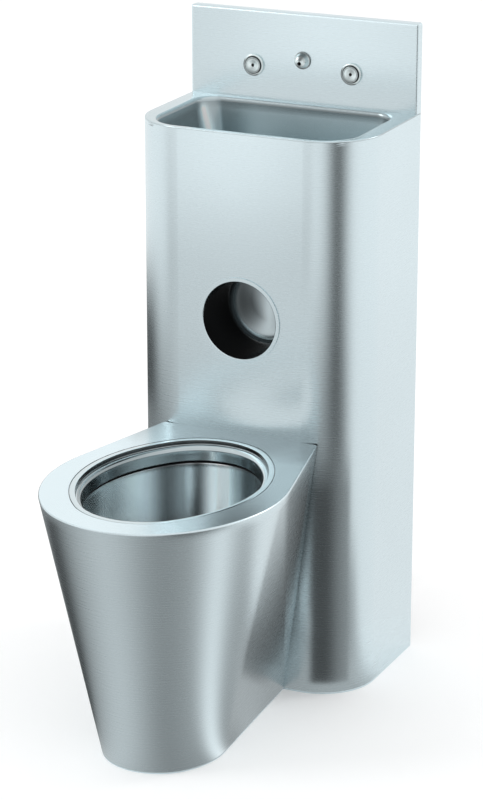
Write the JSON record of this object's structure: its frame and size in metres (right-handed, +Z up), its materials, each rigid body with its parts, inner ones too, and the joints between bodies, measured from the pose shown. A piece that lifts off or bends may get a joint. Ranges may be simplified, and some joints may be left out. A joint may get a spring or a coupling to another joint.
{
  "type": "toilet and basin combination unit",
  "caption": "Stainless steel sanitary column with a wash basin, splash panel and push buttons on top, a toilet roll recess in its front and a tapered toilet pan at its foot.",
  "frame": {"origin": "centre of the bounding box's base, on the floor", "axes": "+Z up, +Y towards the wall, +X to the right of someone who faces the unit"},
  "size_m": [0.39, 0.78, 1.042],
  "materials": {
    "satin_steel": "satin brushed",
    "inner_steel": "mill finish",
    "bright_steel": "bright drawn",
    "plated_brass": "nickel plated",
    "black_rubber": "matt"
  },
  "bodies": {
    "unit": {"column_casing": "satin_steel", "basin": "satin_steel", "splash_panel": "satin_steel", "roll_recess": "satin_steel", "pan_skirt": "satin_steel", "pan_plate": "satin_steel", "rim_ring": "satin_steel", "flush_channel": "inner_steel", "pan_bowl": "satin_steel", "bowl_sump": "satin_steel", "pan_trap": "inner_steel", "trap_clamp": "inner_steel", "outlet_spigot": "inner_steel", "left_bezel": "satin_steel", "right_bezel": "satin_steel", "left_spring": "bright_steel", "right_spring": "bright_steel", "left_valve": "plated_brass", "right_valve": "plated_brass", "left_lock_nut": "plated_brass", "right_lock_nut": "plated_brass", "spout": "satin_steel", "spout_nut": "plated_brass", "supply_pipe": "plated_brass", "flush_pipe": "plated_brass", "flush_union": "plated_brass", "flush_seal": "black_rubber", "waste_body": "satin_steel", "basin_strainer": "satin_steel", "waste_gasket": "black_rubber", "waste_nut": "plated_brass", "trap_bend": "inner_steel", "trap_arm": "inner_steel", "trap_top_nut": "plated_brass", "trap_middle_nut": "plated_brass", "upper_left_bracket": "inner_steel", "upper_right_bracket": "inner_steel", "lower_left_bracket": "inner_steel", "lower_right_bracket": "inner_steel", "left_floor_bracket": "inner_steel", "right_floor_bracket": "inner_steel", "backing_plate": "inner_steel", "pan_bolts": "bright_steel", "pan_nuts": "bright_steel"},
    "left_button": {"left_button": "satin_steel", "left_plug": "black_rubber"},
    "right_button": {"right_button": "satin_steel", "right_plug": "black_rubber"}
  },
  "joints": [
    {"name": "left_press", "type": "slide", "parent": "unit", "child": "left_button", "axis": [0, 1, 0], "range_m": [0, 0.005], "stiffness_N_per_m": 800, "springref_m": -0.002, "deforming": ["left_spring"]},
    {"name": "right_press", "type": "slide", "parent": "unit", "child": "right_button", "axis": [0, 1, 0], "range_m": [0, 0.005], "stiffness_N_per_m": 800, "springref_m": -0.002, "deforming": ["right_spring"]}
  ]
}
